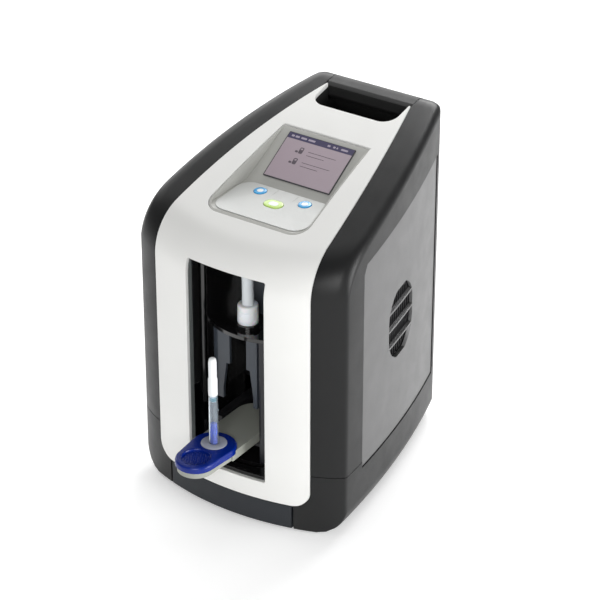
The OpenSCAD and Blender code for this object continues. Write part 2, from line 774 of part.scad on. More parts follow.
motor_z = 187.5;
motor_h = 20;
screw_z0 = 86;
module lead_screw() color([0.8, 0.8, 0.82]) {
    rod([0, screw_y, screw_z0 + 0.2], screw_d, motor_z - screw_z0 - 0.4);
    rod([0, screw_y, motor_z - 0.3], 5, 3);
}
module stepper_motor() color([0.25, 0.25, 0.27]) difference() {
    box([-14, screw_y - 14, motor_z], [14, screw_y + 14, motor_z + motor_h]);
    rod([0, screw_y, motor_z - 1], 5.1, 5);
    for (sx = [-1, 1], sy = [-1, 1]) translate([sx * 14, screw_y + sy * 14, motor_z - 1])
        rotate([0, 0, 45]) cube([4, 4, 60], center = true);
}
module guide_rods() color([0.8, 0.8, 0.82]) for (s = [-1, 1])
    rod([s * lift_rod_x, screw_y, screw_z0], 5, chassis_top_z - screw_z0);

// Chassis: bottom plate, back plate and top plate. Two walls carry the track and the bracket
// under the rods, and stay behind the shutter's lower arm.
chassis_z = 21;
chassis_t = 2.5;
chassis_top_z = 207.6;
chassis_back = 106;
post_points = [for (sx = [-1, 1], y = [34, 98]) [sx * 34, y]];
module chassis() color([0.72, 0.73, 0.75]) difference() {
    union() {
        box([-40, 28, chassis_z], [40, chassis_back + chassis_t, chassis_z + chassis_t]);
        box([-40, chassis_back, chassis_z], [40, chassis_back + chassis_t, chassis_top_z + chassis_t]);
        box([-30, 60, chassis_top_z], [30, chassis_back + chassis_t, chassis_top_z + chassis_t]);
        box([-27, 72, screw_z0 - 3], [27, 86, screw_z0]);
        both_sides() box([24.5, 80, chassis_z], [27, chassis_back, screw_z0]);
    }
    for (p = post_points) rod([p[0], p[1], 10], 3.4, 30);
    box([-20, 90, chassis_z - 1], [20, 100, chassis_z + 10]);
}

module main_board() color([0.1, 0.35, 0.2]) {
    box([-58, 112, 62], [46, 113.6, 204]);
    for (p = [[-30, 150, 22], [8, 160, 16], [28, 100, 12]])
        box([p[0], 113.6, p[1]], [p[0] + p[2], 116, p[1] + p[2]]);
    for (x = [-34, 34], z = [70, 196]) translate([x, 112, z]) rotate([90, 0, 0])
        cylinder(d = 6, h = 112 - chassis_back - chassis_t);
}

module power_board() color([0.15, 0.35, 0.2]) {
    box([-44, 128, 14], [44, 190, 15.6]);
    for (x = [-30, -10]) rod([x, 150, 15.6], 12, 22);
    box([8, 140, 15.6], [34, 166, 34]);
    for (x = [-36, 36], y = [132, 186]) rod([x, y, floor_z + wall], 6, 14 - floor_z - wall);
}

// Fan behind the grille
fan_x = [56, 66];
fan_w = 40;
module fan_frame() color([0.12, 0.12, 0.13]) {
    along_x(fan_x[0], fan_x[1]) translate(vent_c) difference() {
        rounded(fan_w, fan_w, 3);
        circle(d = fan_d + 1.4);
        for (sx = [-1, 1], sy = [-1, 1]) translate([sx * 16, sy * 16]) circle(d = 3.4);
    }
    along_x(fan_x[0], fan_x[0] + 1.6) translate(vent_c) {
        circle(d = 15);
        for (a = [0, 120, 240]) rotate(a) translate([0, 9]) square([2.4, 20], center = true);
    }
    // Bracket that stands on the base tray's floor
    foot_z = floor_z + wall + 0.2;
    box([fan_x[0], vent_c[0] - 18, foot_z], [fan_x[0] + 2, vent_c[0] + 18, vent_c[1] - fan_w / 2 + 0.5]);
    box([fan_x[0] - 10, vent_c[0] - 18, foot_z], [fan_x[0] + 2, vent_c[0] + 18, foot_z + 2]);
}
module fan_rotor() color([0.18, 0.18, 0.2]) {
    along_x(fan_x[0] + 2, fan_x[1] - 0.6) translate(vent_c) circle(d = 16);
    for (i = [0 : 6]) translate([0, vent_c[0], vent_c[1]]) rotate([i * 360 / 7, 0, 0])
        translate([(fan_x[0] + fan_x[1]) / 2 + 0.8, 0, fan_d / 4 + 2]) rotate([0, 0, 35])
        cube([1.2, 10, fan_d / 2 - 4.6], center = true);
}

origin_y = -(body_d - grip_reach) / 2;
translate([0, origin_y, 0]) {
    base_tray();
    front_bumper();
    rubber_feet();
    front_panel();
    opening_frame();
    sill_lip();
    side_cover_left();
    side_cover_right();
    side_panel_left();
    side_panel_right();
    vent_grille();
    rear_panel();
    dc_inlet();
    data_ports();
    handle_well();
    handle_bar();
    handle_core();
    display_tub();
    lcd_module();
    lcd_glass();
    display_board();
    keypad_membrane();
    keypad_board();
    button_left();
    button_right();
    button_ok();
    well_liner();
    well_shelf();
    collector_guide();
    guide_post();
    shutter();
    shutter_pins();
    cassette_body();
    cassette_grip();
    collector_washer();
    collector_tube();
    collector_core();
    collector_tip();
    cassette_track();
    heater_plate();
    reader_optics();
    cartridge_cup();
    cartridge_neck();
    lift_plate();
    lift_back();
    lift_nut();
    lead_screw();
    guide_rods();
    stepper_motor();
    chassis();
    main_board();
    power_board();
    fan_frame();
    fan_rotor();
    case_screws();
}
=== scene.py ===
"""Benchtop oral fluid analyser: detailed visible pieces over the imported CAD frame.

Lengths in this script are millimetres in housing coordinates (Y = 0 at the middle of the front
face, Z = 0 on the table) until frame_point() turns them into metres in the shared frame.
"""
import json
import math

import bmesh
import bpy
import numpy as np
from mathutils import Matrix, Vector
from mathutils.bvhtree import BVHTree
from mathutils.interpolate import poly_3d_calc


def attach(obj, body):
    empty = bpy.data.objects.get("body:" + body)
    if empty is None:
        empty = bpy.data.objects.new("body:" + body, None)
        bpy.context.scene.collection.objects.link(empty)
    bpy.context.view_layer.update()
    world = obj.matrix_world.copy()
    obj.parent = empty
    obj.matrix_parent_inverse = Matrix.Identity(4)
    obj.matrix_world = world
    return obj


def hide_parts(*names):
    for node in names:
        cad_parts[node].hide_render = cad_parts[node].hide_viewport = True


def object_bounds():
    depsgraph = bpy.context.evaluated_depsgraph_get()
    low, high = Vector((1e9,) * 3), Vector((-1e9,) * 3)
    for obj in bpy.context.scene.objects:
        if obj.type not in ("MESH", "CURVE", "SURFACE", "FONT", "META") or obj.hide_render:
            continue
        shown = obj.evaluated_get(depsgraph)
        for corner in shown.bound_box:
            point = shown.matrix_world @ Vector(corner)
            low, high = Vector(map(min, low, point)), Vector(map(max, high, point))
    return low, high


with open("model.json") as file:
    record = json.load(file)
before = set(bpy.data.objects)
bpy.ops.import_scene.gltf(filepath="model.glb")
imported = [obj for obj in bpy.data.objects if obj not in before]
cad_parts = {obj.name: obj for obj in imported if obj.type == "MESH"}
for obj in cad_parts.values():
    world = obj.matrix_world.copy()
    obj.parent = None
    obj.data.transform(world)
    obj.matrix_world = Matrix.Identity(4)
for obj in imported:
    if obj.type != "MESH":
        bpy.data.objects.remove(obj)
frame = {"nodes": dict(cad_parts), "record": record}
cad_lo, cad_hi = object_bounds()
nodes = frame["nodes"]
scene = bpy.context.scene

BODY_W, BODY_D, SEAM, BASE_H = 184.0, 212.0, 0.5, 51.0
SHIFT_Y = cad_hi.y * 1000 - BODY_D


def frame_point(p):
    return Vector((p[0] / 1000, (p[1] + SHIFT_Y) / 1000, p[2] / 1000))


# ---------------------------------------------------------------- camera
def set_camera():
    data = bpy.data.cameras.new("camera")
    camera = bpy.data.objects.new("camera", data)
    scene.collection.objects.link(camera)
    azimuth, elevation = math.radians(34.3), math.radians(29.33)
    back = Vector((math.sin(azimuth) * math.cos(elevation), -math.cos(azimuth) * math.cos(elevation),
                   math.sin(elevation)))
    camera.rotation_mode = "QUATERNION"
    camera.rotation_quaternion = (-back).to_track_quat("-Z", "Y")
    camera.location = (0.9363, -1.3535, 1.0704)
    data.lens, data.sensor_width = 151.2, 36.0
    data.clip_start, data.clip_end = 0.05, 20.0
    scene.camera = camera


set_camera()


# ---------------------------------------------------------------- materials
class Shader:
    """A Principled material with a few node helpers."""

    def __init__(self, name, color, rough):
        self.mat = bpy.data.materials.new(name)
        self.mat.use_nodes = True
        self.tree = self.mat.node_tree
        self.bsdf = self.tree.nodes["Principled BSDF"]
        self.color, self.rough = color, rough
        self.bsdf.inputs["Base Color"].default_value = (*color, 1)
        self.bsdf.inputs["Roughness"].default_value = rough
        self.coords = self.node("ShaderNodeTexCoord")
        self.mat.diffuse_color = (*color, 1)

    def node(self, kind, **values):
        made = self.tree.nodes.new(kind)
        for key, value in values.items():
            setattr(made, key, value)
        return made

    def link(self, a, b):
        self.tree.links.new(a, b)

    def noise(self, scale, detail=3.0, stretch=None):
        made = self.node("ShaderNodeTexNoise")
        made.inputs["Scale"].default_value = scale
        made.inputs["Detail"].default_value = detail
        source = self.coords.outputs["Object"]
        if stretch:
            mapping = self.node("ShaderNodeMapping")
            mapping.inputs["Scale"].default_value = stretch
            self.link(source, mapping.inputs["Vector"])
            source = mapping.outputs["Vector"]
        self.link(source, made.inputs["Vector"])
        return made.outputs["Fac"]

    def spread(self, value, low, high):
        made = self.node("ShaderNodeMapRange")
        made.inputs["From Min"].default_value = 0.3
        made.inputs["From Max"].default_value = 0.7
        made.inputs["To Min"].default_value = low
        made.inputs["To Max"].default_value = high
        self.link(value, made.inputs["Value"])
        return made.outputs["Result"]

    def tint(self, value, first, second):
        made = self.node("ShaderNodeMix", data_type="RGBA")
        made.inputs["A"].default_value = (*first, 1)
        made.inputs["B"].default_value = (*second, 1)
        self.link(self.spread(value, 0.0, 1.0), made.inputs["Factor"])
        self.link(made.outputs["Result"], self.bsdf.inputs["Base Color"])

    def vary(self, scale, amount, stretch=None):
        low = [c * (1 - amount) for c in self.color]
        high = [min(1, c * (1 + amount)) for c in self.color]
        self.tint(self.noise(scale, stretch=stretch), low, high)

    def polish(self, scale, spread, stretch=None):
        low, high = self.rough - spread, self.rough + spread
        self.link(self.spread(self.noise(scale, stretch=stretch), low, high), self.bsdf.inputs["Roughness"])

    def relief(self, height, depth_mm, edge_mm=0.0):
        """Fine bump of this depth, over edges that catch the light as if rounded by edge_mm."""
        bump = self.node("ShaderNodeBump")
        bump.inputs["Strength"].default_value = 1.0
        bump.inputs["Distance"].default_value = depth_mm / 1000
        self.link(height, bump.inputs["Height"])
        if edge_mm:
            bevel = self.node("ShaderNodeBevel", samples=4)
            bevel.inputs["Radius"].default_value = edge_mm / 1000
            self.link(bevel.outputs["Normal"], bump.inputs["Normal"])
        self.link(bump.outputs["Normal"], self.bsdf.inputs["Normal"])

    def put(self, **sockets):
        for name, value in sockets.items():
            self.bsdf.inputs[name.replace("_", " ")].default_value = value


def plastic(name, color, rough, grain=0.02, grain_scale=1400, vary=0.05, edge=0.5, **sockets):
    made = Shader(name, color, rough)
    made.vary(14, vary)
    made.polish(60, 0.035)
    made.relief(made.noise(grain_scale, 2.0), grain, edge)
    made.put(**sockets)
    return made


def metal(name, color, rough, stretch=(1, 1, 30)):
    made = Shader(name, color, rough)
    made.vary(120, 0.08, stretch)
    made.polish(200, 0.07, stretch)
    made.relief(made.noise(600, 2.0, stretch), 0.01)
    made.put(Metallic=1.0)
    return made


def circuit_board(name, color):
    made = Shader(name, color, 0.35)
    cells = made.node("ShaderNodeTexVoronoi", feature="F1", distance="MANHATTAN")
    cells.inputs["Scale"].default_value = 220
    made.link(made.coords.outputs["Object"], cells.inputs["Vector"])
    made.tint(cells.outputs["Distance"], color, [c * 1.9 for c in color])
    made.relief(cells.outputs["Distance"], 0.03)
    return made


MATS = {
    "panel_white": plastic("panel_white", (0.81, 0.81, 0.79), 0.36, 0.012, 1600, 0.012, 0.7),
    "cover_charcoal": plastic("cover_charcoal", (0.0075, 0.0077, 0.0080), 0.40, 0.05, 1300, 0.10, 0.7,
                              Specular_IOR_Level=0.28),
    # frame_grey: painted shade, the opening's white lining drawn mid grey as if in shadow.
    "frame_grey": plastic("frame_grey", (0.13, 0.14, 0.138), 0.40, 0.02, 1500, 0.05, 0.3),
    "side_grey": plastic("side_grey", (0.088, 0.088, 0.089), 0.38, 0.03, 1500, 0.05, 0.6),
    "bumper_grey": plastic("bumper_grey", (0.017, 0.020, 0.0245), 0.48, 0.04, 1300, 0.08, 0.6,
                           Specular_IOR_Level=0.3),
    "foot_rubber": plastic("foot_rubber", (0.018, 0.018, 0.018), 0.75, 0.06, 900, 0.10),
    "vent_black": plastic("vent_black", (0.008, 0.008, 0.009), 0.55, 0.03, 1300, 0.10, 0.3),
    "socket_black": plastic("socket_black", (0.015, 0.015, 0.015), 0.40, 0.02),
    # recess_black: on the handle core this black is painted shade for the core's shadowed front face.
    "recess_black": plastic("recess_black", (0.009, 0.009, 0.009), 0.60, 0.06, 1100, 0.12),
    "handle_grey": plastic("handle_grey", (0.050, 0.050, 0.050), 0.62, 0.06, 1000, 0.08, 0.9),
    "tub_grey": plastic("tub_grey", (0.43, 0.43, 0.405), 0.40, 0.015, 1600, 0.02, 0.5),
    "membrane_grey": plastic("membrane_grey", (0.56, 0.57, 0.555), 0.45, 0.02, 2000, 0.015, 0.3),
    "key_blue": plastic("key_blue", (0.03, 0.36, 0.74), 0.28, 0.01, 1500, 0.05, 0.3, Coat_Weight=0.3),
    "key_green": plastic("key_green", (0.50, 0.72, 0.16), 0.30, 0.01, 1500, 0.05, 0.3, Coat_Weight=0.3),
    "key_white": plastic("key_white", (0.85, 0.90, 0.90), 0.30, 0.01, 1500, 0.02, 0.3),
    "well_black": plastic("well_black", (0.006, 0.006, 0.0065), 0.10, 0.002, 300, 0.15, 0.5,
                          Coat_Weight=0.6, Coat_Roughness=0.05),
    "guide_slate": plastic("guide_slate", (0.040, 0.048, 0.060), 0.35, 0.02, 1400, 0.08, 0.4),
    "post_dark": plastic("post_dark", (0.012, 0.012, 0.016), 0.30, 0.02),
    "shutter_black": plastic("shutter_black", (0.007, 0.007, 0.008), 0.14, 0.002, 300, 0.15, 0.4,
                             Coat_Weight=0.5, Coat_Roughness=0.06),
    "cassette_grey": plastic("cassette_grey", (0.30, 0.31, 0.275), 0.45, 0.03, 1300, 0.04, 0.5),
    "grip_blue": plastic("grip_blue", (0.001, 0.016, 0.20), 0.24, 0.02, 1200, 0.10, 0.6,
                         Specular_IOR_Level=0.35),
    "washer_grey": plastic("washer_grey", (0.33, 0.35, 0.42), 0.40, 0.02, 1200, 0.06, 0.3),
    "collector_white": plastic("collector_white", (0.82, 0.84, 0.85), 0.60, 0.08, 1800, 0.03, 0.3),
    "collector_teal": plastic("collector_teal", (0.03, 0.36, 0.45), 0.40, 0.02),
    "track_black": plastic("track_black", (0.010, 0.010, 0.012), 0.45, 0.03),
    "optics_black": plastic("optics_black", (0.012, 0.012, 0.013), 0.55, 0.03),
    "cartridge_white": plastic("cartridge_white", (0.86, 0.88, 0.90), 0.28, 0.01, 900, 0.03, 0.4,
                               Subsurface_Weight=0.25, Subsurface_Scale=0.004),
    "lcd_face": plastic("lcd_face", (0.42, 0.345, 0.39), 0.22, 0.002, 900, 0.04, 0.0, Coat_Weight=0.35,
                        Coat_Roughness=0.12),
    "lcd_dark": plastic("lcd_dark", (0.060, 0.052, 0.115), 0.30, 0.002, 900, 0.06, 0.0),
    "lcd_light": plastic("lcd_light", (0.42, 0.37, 0.46), 0.30, 0.002, 900, 0.06, 0.0),
    "lcd_mark": plastic("lcd_mark", (0.105, 0.085, 0.105), 0.30, 0.002, 900, 0.06, 0.0),
    "lcd_grey": plastic("lcd_grey", (0.05, 0.05, 0.055), 0.30, 0.01),
    "motor_black": plastic("motor_black", (0.02, 0.02, 0.022), 0.45, 0.03),
    "fan_black": plastic("fan_black", (0.018, 0.018, 0.020), 0.45, 0.03),
    "steel": metal("steel", (0.60, 0.60, 0.62), 0.26),
    "port_steel": metal("port_steel", (0.62, 0.62, 0.64), 0.30, (1, 30, 1)),
    "aluminium": metal("aluminium", (0.66, 0.66, 0.68), 0.36, (1, 1, 40)),
    "brass": metal("brass", (0.70, 0.52, 0.24), 0.28, (8, 8, 1)),
    "board_green": circuit_board("board_green", (0.02, 0.12, 0.05)),
}

clear = Shader("collector_clear", (0.82, 0.90, 0.97), 0.08)
clear.vary(40, 0.03)
clear.polish(90, 0.03)
clear.put(Transmission_Weight=0.9, IOR=1.45)
MATS["collector_clear"] = clear
liquid = Shader("collector_blue", (0.005, 0.08, 0.75), 0.2)
liquid.vary(150, 0.15)
liquid.polish(90, 0.05)
MATS["collector_blue"] = liquid
frost = Shader("cartridge_frost", (0.80, 0.84, 0.87), 0.38)
frost.vary(60, 0.04)
frost.polish(90, 0.05)
frost.relief(frost.noise(700), 0.02)
frost.put(Transmission_Weight=0.15, IOR=1.4)
MATS["cartridge_frost"] = frost
window = Shader("lcd_window", (0.9, 0.9, 0.92), 0.1)
window.vary(30, 0.02)
window.polish(60, 0.03)
window.put(Transmission_Weight=0.9)
MATS["lcd_window"] = window

# Every CAD node starts with the material of its slot.
slot_of = {row["node"]: row["material_slot"] for row in frame["record"]["subparts"]}
for node_name, cad in nodes.items():
    cad.data.materials.clear()
    cad.data.materials.append(MATS[slot_of[node_name]].mat)


# ---------------------------------------------------------------- mesh helpers
def new_object(name, verts, faces, moved=True):
    mesh = bpy.data.meshes.new(name)
    mesh.from_pydata([frame_point(v) if moved else v for v in verts], [], faces)
    mesh.validate()
    made = bpy.data.objects.new(name, mesh)
    scene.collection.objects.link(made)
    return made


def outward(obj):
    bm = bmesh.new()
    bm.from_mesh(obj.data)
    bmesh.ops.remove_doubles(bm, verts=bm.verts, dist=1e-7)
    bmesh.ops.recalc_face_normals(bm, faces=bm.faces)
    bm.to_mesh(obj.data)
    bm.free()
    return obj


def finish_piece(obj, slot, stands_for, body="housing", material=None):
    obj.data.materials.clear()
    obj.data.materials.append(MATS[material or slot].mat)
    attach(obj, body)
    if stands_for:
        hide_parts(*stands_for)
    return obj


def smooth(obj, angle=35):
    obj.data.shade_smooth()
    obj.data.set_sharp_from_angle(angle=math.radians(angle))
    return obj


def bevel(obj, width_mm, segments=3, angle=32):
    made = obj.modifiers.new("edges", "BEVEL")
    made.width, made.segments = width_mm / 1000, segments
    made.limit_method, made.angle_limit = "ANGLE", math.radians(angle)
    made.harden_normals = True
    return smooth(obj, 60)


def boolean(obj, operation, *cutters):
    for cutter in cutters:
        made = obj.modifiers.new("cut", "BOOLEAN")
        made.operation, made.object, made.solver = operation, cutter, "MANIFOLD"
        graph = bpy.context.evaluated_depsgraph_get()
        cut = bpy.data.meshes.new_from_object(obj.evaluated_get(graph))
        obj.modifiers.clear()
        old, obj.data = obj.data, cut
        bpy.data.meshes.remove(old)
        if not cut.polygons:
            raise RuntimeError(f"{obj.name} is empty after {operation} with {cutter.name}")
    for cutter in cutters:
        bpy.data.objects.remove(cutter)
    return obj


def prism(name, outline, axis, low, high):
    """Solid of an outline extruded along an axis: (x, y) along z, (x, z) along y, (y, z) along x."""
    place = {"z": lambda p, h: (p[0], p[1], h), "y": lambda p, h: (p[0], h, p[1]),
             "x": lambda p, h: (h, p[0], p[1])}[axis]
    count = len(outline)
    verts = [place(p, low) for p in outline] + [place(p, high) for p in outline]
    faces = [list(range(count)), list(range(count, 2 * count))]
    faces += [[i, (i + 1) % count, (i + 1) % count + count, i + count] for i in range(count)]
    return outward(new_object(name, verts, faces))


def block(name, low, high):
    return prism(name, [(low[0], low[1]), (high[0], low[1]), (high[0], high[1]), (low[0], high[1])],
                 "z", low[2], high[2])


def rounded_rect(cx, cy, width, height, radius, steps=8):
    points = []
    for sx, sy, start in ((1, 1, 0), (-1, 1, 90), (-1, -1, 180), (1, -1, 270)):
        for i in range(steps + 1):
            a = math.radians(start + 90 * i / steps)
            points.append((cx + sx * (width / 2 - radius) + radius * math.cos(a),
                           cy + sy * (height / 2 - radius) + radius * math.sin(a)))
    return points


def lathe(name, profile, centre, segments=48):
    """Turns (radius, height) pairs about a vertical axis at centre."""
    bm = bmesh.new()
    rings = []
    for radius, height in profile:
        if radius < 1e-6:
            rings.append([bm.verts.new(frame_point((centre[0], centre[1], height)))])
            continue
        ring = []
        for i in range(segments):
            a = 2 * math.pi * i / segments
            ring.append(bm.verts.new(frame_point((centre[0] + radius * math.cos(a),
                                                  centre[1] + radius * math.sin(a), height))))
        rings.append(ring)
    for low, high in zip(rings, rings[1:]):
        for i in range(segments):
            corners = [low[i % len(low)], low[(i + 1) % len(low)], high[(i + 1) % len(high)],
                       high[i % len(high)]]
            unique = list(dict.fromkeys(corners))
            if len(unique) > 2:
                bm.faces.new(unique)
    bmesh.ops.recalc_face_normals(bm, faces=bm.faces)
    mesh = bpy.data.meshes.new(name)
    bm.to_mesh(mesh)
    bm.free()
    made = bpy.data.objects.new(name, mesh)
    scene.collection.objects.link(made)
    return smooth(made, 40)


# ---------------------------------------------------------------- housing form
FRONT_R, CREASE_R, SIDE_R, REAR_R, PANEL_W = 210.0, 4.0, 780.0, 18.0, 137.0
FRONT_ROUND, EDGE_ROUND, FOOT_ROUND, REAR_ROUND, FLOOR_Z = 36.0, 9.0, 20.0, 12.0, 1.2
TOP_SLOPE = 0.345
FRONT_END = math.degrees(math.asin(PANEL_W / 2 / FRONT_R))
CREASE_START, SIDE_START = 38.5, 94.5


def sin(a):
    return math.sin(math.radians(a))


def towards(a):
    a = np.radians(a)
    return np.stack([np.sin(a), -np.cos(a)], -1)


CORNER_REACH = BODY_W / 2 - PANEL_W / 2 - CREASE_R * (1 - sin(CREASE_START))
CORNER_R = CORNER_REACH / (sin(CREASE_START) - sin(FRONT_END))
FRONT_C = np.array([0.0, FRONT_R])
CORNER_C = FRONT_C + (FRONT_R - CORNER_R) * towards(FRONT_END)
CREASE_C = CORNER_C + (CORNER_R - CREASE_R) * towards(CREASE_START)
SIDE_C = CREASE_C + (CREASE_R - SIDE_R) * towards(SIDE_START)
SIDE_END = math.degrees(math.acos(-(BODY_D - REAR_R - SIDE_C[1]) / (SIDE_R - REAR_R)))
REAR_C = SIDE_C + (SIDE_R - REAR_R) * towards(SIDE_END)


def top_line(y):
    return 234 + TOP_SLOPE * (y - 48) - 0.00052 * (y - 48) ** 2


def drop(radius, distance, slope=0.0):
    d = np.maximum(distance, 0)
    secant = math.sqrt(1 + slope * slope)
    fall = slope * (d - radius) + radius * secant - np.sqrt(np.maximum(radius ** 2 - (radius - d) ** 2, 0))
    return np.where(distance >= radius * (1 - slope / secant), 0, fall)


def from_front(x, y):
    x = np.abs(x)
    on_front = np.degrees(np.arctan2(x, FRONT_R - y)) < FRONT_END
    gap = np.where(on_front, FRONT_R - np.hypot(x, y - FRONT_R),
                   CORNER_R - np.hypot(x - CORNER_C[0], y - CORNER_C[1]))
    return np.where(y > CORNER_C[1], FRONT_R, gap)


def from_side(x, y):
    return SIDE_R - np.hypot(np.abs(x) - SIDE_C[0], y - SIDE_C[1])


def top_z(x, y, g=0.0):
    return (top_line(y) - 1.05 * g - drop(FRONT_ROUND - g, from_front(x, y) - g, TOP_SLOPE)
            - drop(EDGE_ROUND - g, from_side(x, y) - g) - drop(REAR_ROUND - g, BODY_D - y - g))


def bottom_z(x, y, g=0.0):
    return (FLOOR_Z + g + drop(FOOT_ROUND - g, from_side(x, y) - g)
            + drop(1.5, from_front(x, y) - g) + drop(1.5, BODY_D - y - g))


def resample(points, fractions):
    steps = np.linalg.norm(np.diff(points, axis=0), axis=1)
    run = np.concatenate([[0], np.cumsum(steps)]) / steps.sum()
    return np.stack([np.interp(fractions, run, points[:, k]) for k in (0, 1)], -1)


def arc(centre, radius, first, last, count=60):
    return centre + radius * towards(np.linspace(first, last, count))


def fillet_steps(radius, total, last, step):
    """Fractions that sample a fillet of this radius evenly by angle."""
    return [radius * (1 - math.cos(math.radians(a))) / total for a in range(0, last, step)]


def plan_grid(g):
    """Plan points of the form, as a four-sided patch with close rows along its edges."""
    crease_mid, rear_mid = 66.0, (SIDE_END + 180) / 2
    front = np.concatenate([arc(FRONT_C, FRONT_R - g, 0, FRONT_END),
                            arc(CORNER_C, CORNER_R - g, FRONT_END, CREASE_START)[1:],
                            arc(CREASE_C, CREASE_R - g, CREASE_START, crease_mid)[1:]])
    side = np.concatenate([arc(CREASE_C, CREASE_R - g, crease_mid, SIDE_START),
                           arc(SIDE_C, SIDE_R - g, SIDE_START, SIDE_END, 200)[1:],
                           arc(REAR_C, REAR_R - g, SIDE_END, rear_mid)[1:]])
    rear = np.concatenate([[[0, BODY_D - g]], arc(REAR_C, REAR_R - g, 180, rear_mid)])
    near_edge = fillet_steps(12, 92, 80, 8)
    across = np.concatenate([near_edge, np.linspace(near_edge[-1], 1, 14)[1:]])
    right = 1 - across[::-1]
    u = np.concatenate([-right[:0:-1], right])
    near_front = fillet_steps(38, 196, 84, 5)
    near_rear = fillet_steps(14, 196, 80, 9)
    v = np.concatenate([near_front, np.linspace(near_front[-1], 1 - near_rear[-1], 34)[1:],
                        [1 - f for f in near_rear[-2::-1]]])
    sign = np.sign(u)[:, None] * np.array([1, 0]) + np.array([0, 1])
    front_edge = resample(front, np.abs(u)) * sign
    rear_edge = resample(rear, np.abs(u)) * sign
    right_edge = resample(side, v)
    left_edge = right_edge * [-1, 1]
    uu = ((u + 1) / 2)[None, :, None]
    vv = v[:, None, None]
    grid = ((1 - vv) * front_edge[None] + vv * rear_edge[None] + (1 - uu) * left_edge[:, None]
            + uu * right_edge[:, None] - (1 - uu) * (1 - vv) * front_edge[0] - uu * (1 - vv) * front_edge[-1]
            - (1 - uu) * vv * rear_edge[0] - uu * vv * rear_edge[-1])
    return grid


def form(g):
    """Closed mesh of the housing's form, g smaller all round."""
    grid = plan_grid(g)
    rows, cols = grid.shape[:2]
    x, y = grid[..., 0], grid[..., 1]
    top = np.dstack([x, y, top_z(x, y, g)]).reshape(-1, 3)
    low = np.dstack([x, y, bottom_z(x, y, g)]).reshape(-1, 3)
    verts = np.concatenate([top, low])
    count = rows * cols
    faces = []
    for r in range(rows - 1):
        for c in range(cols - 1):
            a, b, d, e = r * cols + c, r * cols + c + 1, (r + 1) * cols + c + 1, (r + 1) * cols + c
            faces.append([a, b, d, e])
            faces.append([count + e, count + d, count + b, count + a])
    rim = list(range(cols)) + [r * cols + cols - 1 for r in range(1, rows)]
    rim += [(rows - 1) * cols + c for c in range(cols - 2, -1, -1)]
    rim += [r * cols for r in range(rows - 2, 0, -1)]
    for a, b in zip(rim, rim[1:] + rim[:1]):
        faces.append([b, a, count + a, count + b])
    return verts, faces


forms = {g: form(g) for g in (0.0, 0.6, 3.0, 3.4, 4.0)}


def shell(name, outer, inner):
    """The form with its inner form as a cavity. Outer faces have material index 0, the rest 1."""
    (v0, f0), (v1, f1) = forms[outer], forms[inner]
    faces = f0 + [[i + len(v0) for i in f[::-1]] for f in f1]
    made = new_object(name, np.concatenate([v0, v1]), faces)
    for slot in ("outer", "inner"):
        made.data.materials.append(bpy.data.materials.get(slot) or bpy.data.materials.new(slot))
    made.data.polygons.foreach_set("material_index", [0] * len(f0) + [1] * len(f1))
    return made


def smooth_skin(obj, outer):
    """Gives the outer faces the normals of the uncut form, so that no cut shows in the gloss."""
    verts, faces = forms[outer]
    source = new_object("source", verts, faces)
    points = [v.co.copy() for v in source.data.vertices]
    normals = [v.normal.copy() for v in source.data.vertices]
    tree = BVHTree.FromPolygons(points, faces)
    mesh = obj.data
    mesh.shade_smooth()
    found = {}
    result = [None] * len(mesh.loops)
    for face in mesh.polygons:
        flat = face.normal
        for loop, vert in zip(face.loop_indices, face.vertices):
            result[loop] = flat
            if face.material_index:
                continue
            if vert not in found:
                point = mesh.vertices[vert].co
                hit, _, index, _ = tree.find_nearest(point)
                ring = faces[index]
                weights = poly_3d_calc([points[i] for i in ring], hit)
                found[vert] = sum((normals[i] * w for i, w in zip(ring, weights)), Vector()).normalized()
            result[loop] = found[vert]
    for face in mesh.polygons:
        face.material_index = 0
    mesh.normals_split_custom_set(result)
    source_mesh = source.data
    bpy.data.objects.remove(source)
    bpy.data.meshes.remove(source_mesh)
    return obj


def cutter(obj):
    """A cutting solid: its faces count as inner ones."""
    for slot in ("outer", "inner"):
        obj.data.materials.append(bpy.data.materials.get(slot) or bpy.data.materials.new(slot))
    obj.data.polygons.foreach_set("material_index", [1] * len(obj.data.polygons))
    return obj


# ---------------------------------------------------------------- outlines shared by the shells
PANEL_EDGE_R, PANEL_Y0, PANEL_Y1, BUMPER_H, BUMPER_W = 885.0, 12.0, 191.0, 22.0, 110.0
OPENING_W, OPENING_LOW, OPENING_TOP = 69.0, 37.0, 205.0
EDGE_C = np.array([PANEL_W / 2, PANEL_Y0]) - PANEL_EDGE_R * towards(93.9)


def panel_edge(y, grow=0.0):
    return EDGE_C[0] + math.sqrt((PANEL_EDGE_R + grow) ** 2 - (y - EDGE_C[1]) ** 2)


def panel_column(grow, y1):
    ys = np.linspace(-12, y1, 60)
    plan = [(panel_edge(y, grow), y) for y in ys] + [(-panel_edge(y, grow), y) for y in ys[::-1]]
    column = prism("column", plan, "z", -5, 320)
    low, high = BUMPER_H - grow, 300
    face = rounded_rect(0, (low + high) / 2, PANEL_W + 2 * grow, high - low, 14 + grow, 14)
    return cutter(boolean(column, "INTERSECT", prism("face", face, "y", -11, y1 - 0.01)))


def opening_hole(grow, y0, y1):
    width, height = OPENING_W + 2 * grow, OPENING_TOP - OPENING_LOW + 2 * grow
    hole = rounded_rect(0, (OPENING_LOW + OPENING_TOP) / 2, width, height, 1.5 + grow, 5)
    return cutter(prism("hole", hole, "y", y0, y1))


RECESS_Y0, RECESS_Y1, RECESS_W, RECESS_REAR_W, FOLD_Y, FOLD_Z = 38.0, 134.0, 86.0, 74.0, 88.0, 232.5
KEY_PLANE_Z = top_line(RECESS_Y0)
KEY_TILT = math.atan2(FOLD_Z - KEY_PLANE_Z, FOLD_Y - RECESS_Y0)
DISPLAY_TILT = math.atan2(top_line(RECESS_Y1) - FOLD_Z, RECESS_Y1 - FOLD_Y)


